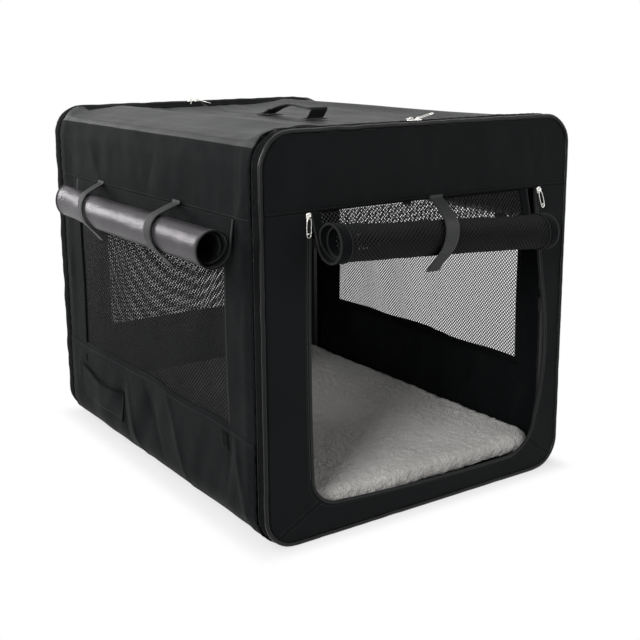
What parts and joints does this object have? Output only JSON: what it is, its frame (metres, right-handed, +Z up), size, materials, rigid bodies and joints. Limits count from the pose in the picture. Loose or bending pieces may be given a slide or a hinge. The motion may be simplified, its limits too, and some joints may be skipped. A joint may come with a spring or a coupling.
{
  "type": "folding soft dog crate",
  "caption": "Soft-sided folding dog crate with a rolled-up mesh door, mesh side windows under rolled flaps, fleece mat, top handle and zips.",
  "frame": {"origin": "middle of the flat underside", "axes": "+Z up, +X to the crate's right, -Y towards the doorway"},
  "size_m": [0.6468, 0.7406, 0.5534],
  "materials": {
    "black_polyester": "matt woven polyester",
    "black_polyester_top": "matt woven polyester",
    "black_polyester_front": "matt woven polyester, padded",
    "black_piping": "glossy covered piping",
    "black_mesh": "fine knitted mesh",
    "black_door_mesh": "fine knitted mesh with a bound edge",
    "coated_flap": "satin coated cloth",
    "black_webbing": "woven tape",
    "grey_fleece": "deep pile fleece",
    "coated_steel_tube": "powder coated",
    "moulded_knuckle": "moulded, fine grain",
    "steel_pin": "plain",
    "nickel_zip": "nickel plated"
  },
  "bodies": {
    "base": {"bottom_panel": "black_polyester", "fleece_mat": "grey_fleece", "base_rail_left": "coated_steel_tube", "base_rail_right": "coated_steel_tube", "left_side_panel": "black_polyester", "right_side_panel": "black_polyester", "left_window_net": "black_mesh", "right_window_net": "black_mesh", "rear_window_net": "black_mesh", "front_header": "black_polyester_front", "front_panel": "black_polyester_front", "rear_panel": "black_polyester_front", "front_gusset": "black_polyester", "rear_gusset": "black_polyester", "front_piping": "black_piping", "rear_piping": "black_piping", "front_door_roll": "black_door_mesh", "door_strap": "black_webbing", "left_flap_roll": "coated_flap", "right_flap_roll": "coated_flap", "left_front_flap_strap": "black_webbing", "left_rear_flap_strap": "black_webbing", "right_front_flap_strap": "black_webbing", "right_rear_flap_strap": "black_webbing", "left_pocket": "black_polyester"},
    "front_lower": {"front_lower_hoop": "coated_steel_tube", "front_left_fork": "moulded_knuckle", "front_right_fork": "moulded_knuckle", "front_left_pin": "steel_pin", "front_right_pin": "steel_pin"},
    "front_upper": {"front_upper_hoop": "coated_steel_tube", "front_left_tongue": "moulded_knuckle", "front_right_tongue": "moulded_knuckle"},
    "rear_lower": {"rear_lower_hoop": "coated_steel_tube", "rear_left_fork": "moulded_knuckle", "rear_right_fork": "moulded_knuckle", "rear_left_pin": "steel_pin", "rear_right_pin": "steel_pin"},
    "rear_upper": {"rear_upper_hoop": "coated_steel_tube", "rear_left_tongue": "moulded_knuckle", "rear_right_tongue": "moulded_knuckle"},
    "top": {"top_panel": "black_polyester_top", "top_rail_left": "coated_steel_tube", "top_rail_right": "coated_steel_tube", "handle_anchor_front": "black_webbing", "handle_anchor_rear": "black_webbing"},
    "handle": {"handle_strap": "black_webbing"},
    "front_left_slider": {"front_left_zip_slider": "nickel_zip"},
    "front_left_pull": {"front_left_zip_pull": "nickel_zip"},
    "front_right_slider": {"front_right_zip_slider": "nickel_zip"},
    "front_right_pull": {"front_right_zip_pull": "nickel_zip"},
    "rear_left_slider": {"rear_left_zip_slider": "nickel_zip"},
    "rear_left_pull": {"rear_left_zip_pull": "nickel_zip"},
    "rear_right_slider": {"rear_right_zip_slider": "nickel_zip"},
    "rear_right_pull": {"rear_right_zip_pull": "nickel_zip"},
    "door_left_slider": {"door_left_zip_slider": "nickel_zip"},
    "door_left_pull": {"door_left_zip_pull": "nickel_zip"},
    "door_right_slider": {"door_right_zip_slider": "nickel_zip"},
    "door_right_pull": {"door_right_zip_pull": "nickel_zip"}
  },
  "joints": [
    {"name": "fold", "type": "hinge", "parent": "base", "child": "front_lower", "pos_m": [0, -0.313, 0.0138], "axis": [-1, 0, 0], "range_deg": [0, 85], "deforming": ["left_side_panel", "right_side_panel", "left_window_net", "right_window_net", "rear_window_net", "front_header", "front_panel", "rear_panel", "front_gusset", "rear_gusset", "front_piping", "rear_piping", "front_door_roll", "door_strap", "left_flap_roll", "right_flap_roll", "left_front_flap_strap", "left_rear_flap_strap", "right_front_flap_strap", "right_rear_flap_strap", "left_pocket"]},
    {"name": "front_knuckle", "type": "hinge", "parent": "front_lower", "child": "front_upper", "pos_m": [0, -0.323, 0.27175], "axis": [1, 0, 0], "range_deg": [0, 170]},
    {"name": "top_hang", "type": "hinge", "parent": "front_upper", "child": "top", "pos_m": [0, -0.313, 0.5297], "axis": [-1, 0, 0], "range_deg": [0, 85]},
    {"name": "rear_fold", "type": "hinge", "parent": "base", "child": "rear_lower", "pos_m": [0, 0.313, 0.0138], "axis": [1, 0, 0], "range_deg": [0, 85]},
    {"name": "rear_knuckle", "type": "hinge", "parent": "rear_lower", "child": "rear_upper", "pos_m": [0, 0.323, 0.27175], "axis": [-1, 0, 0], "range_deg": [0, 170]},
    {"name": "handle_flop", "type": "hinge", "parent": "top", "child": "handle", "pos_m": [0, 0, 0.5439], "axis": [0, 1, 0], "range_deg": [-55, 55]},
    {"name": "front_left_zip", "type": "slide", "parent": "top", "child": "front_left_slider", "axis": [-1, 0, 0], "range_m": [0, 0.195]},
    {"name": "front_left_pull_hinge", "type": "hinge", "parent": "front_left_slider", "child": "front_left_pull", "pos_m": [-0.0155, -0.31505, 0.5472], "axis": [0, 1, 0], "range_deg": [0, 90]},
    {"name": "front_right_zip", "type": "slide", "parent": "top", "child": "front_right_slider", "axis": [1, 0, 0], "range_m": [0, 0.195]},
    {"name": "front_right_pull_hinge", "type": "hinge", "parent": "front_right_slider", "child": "front_right_pull", "pos_m": [-0.0025, -0.31505, 0.5472], "axis": [0, -1, 0], "range_deg": [0, 90]},
    {"name": "rear_left_zip", "type": "slide", "parent": "top", "child": "rear_left_slider", "axis": [-1, 0, 0], "range_m": [0, 0.195]},
    {"name": "rear_left_pull_hinge", "type": "hinge", "parent": "rear_left_slider", "child": "rear_left_pull", "pos_m": [-0.0155, 0.31505, 0.5472], "axis": [0, 1, 0], "range_deg": [0, 90]},
    {"name": "rear_right_zip", "type": "slide", "parent": "top", "child": "rear_right_slider", "axis": [1, 0, 0], "range_m": [0, 0.195]},
    {"name": "rear_right_pull_hinge", "type": "hinge", "parent": "rear_right_slider", "child": "rear_right_pull", "pos_m": [-0.0025, 0.31505, 0.5472], "axis": [0, -1, 0], "range_deg": [0, 90]},
    {"name": "door_left_zip", "type": "slide", "parent": "base", "child": "door_left_slider", "axis": [0, 0, -1], "range_m": [0, 0.35]},
    {"name": "door_left_pull_hinge", "type": "hinge", "parent": "door_left_slider", "child": "door_left_pull", "pos_m": [-0.1945, -0.3387, 0.436], "axis": [-1, 0, 0], "range_deg": [0, 100]},
    {"name": "door_right_zip", "type": "slide", "parent": "base", "child": "door_right_slider", "axis": [0, 0, -1], "range_m": [0, 0.35]},
    {"name": "door_right_pull_hinge", "type": "hinge", "parent": "door_right_slider", "child": "door_right_pull", "pos_m": [0.206, -0.3387, 0.436], "axis": [-1, 0, 0], "range_deg": [0, 100]}
  ],
  "couplings": [
    {"joint": "front_knuckle", "follows": "fold", "ratio": 2},
    {"joint": "top_hang", "follows": "fold", "ratio": 1},
    {"joint": "rear_fold", "follows": "fold", "ratio": 1},
    {"joint": "rear_knuckle", "follows": "fold", "ratio": 2}
  ]
}
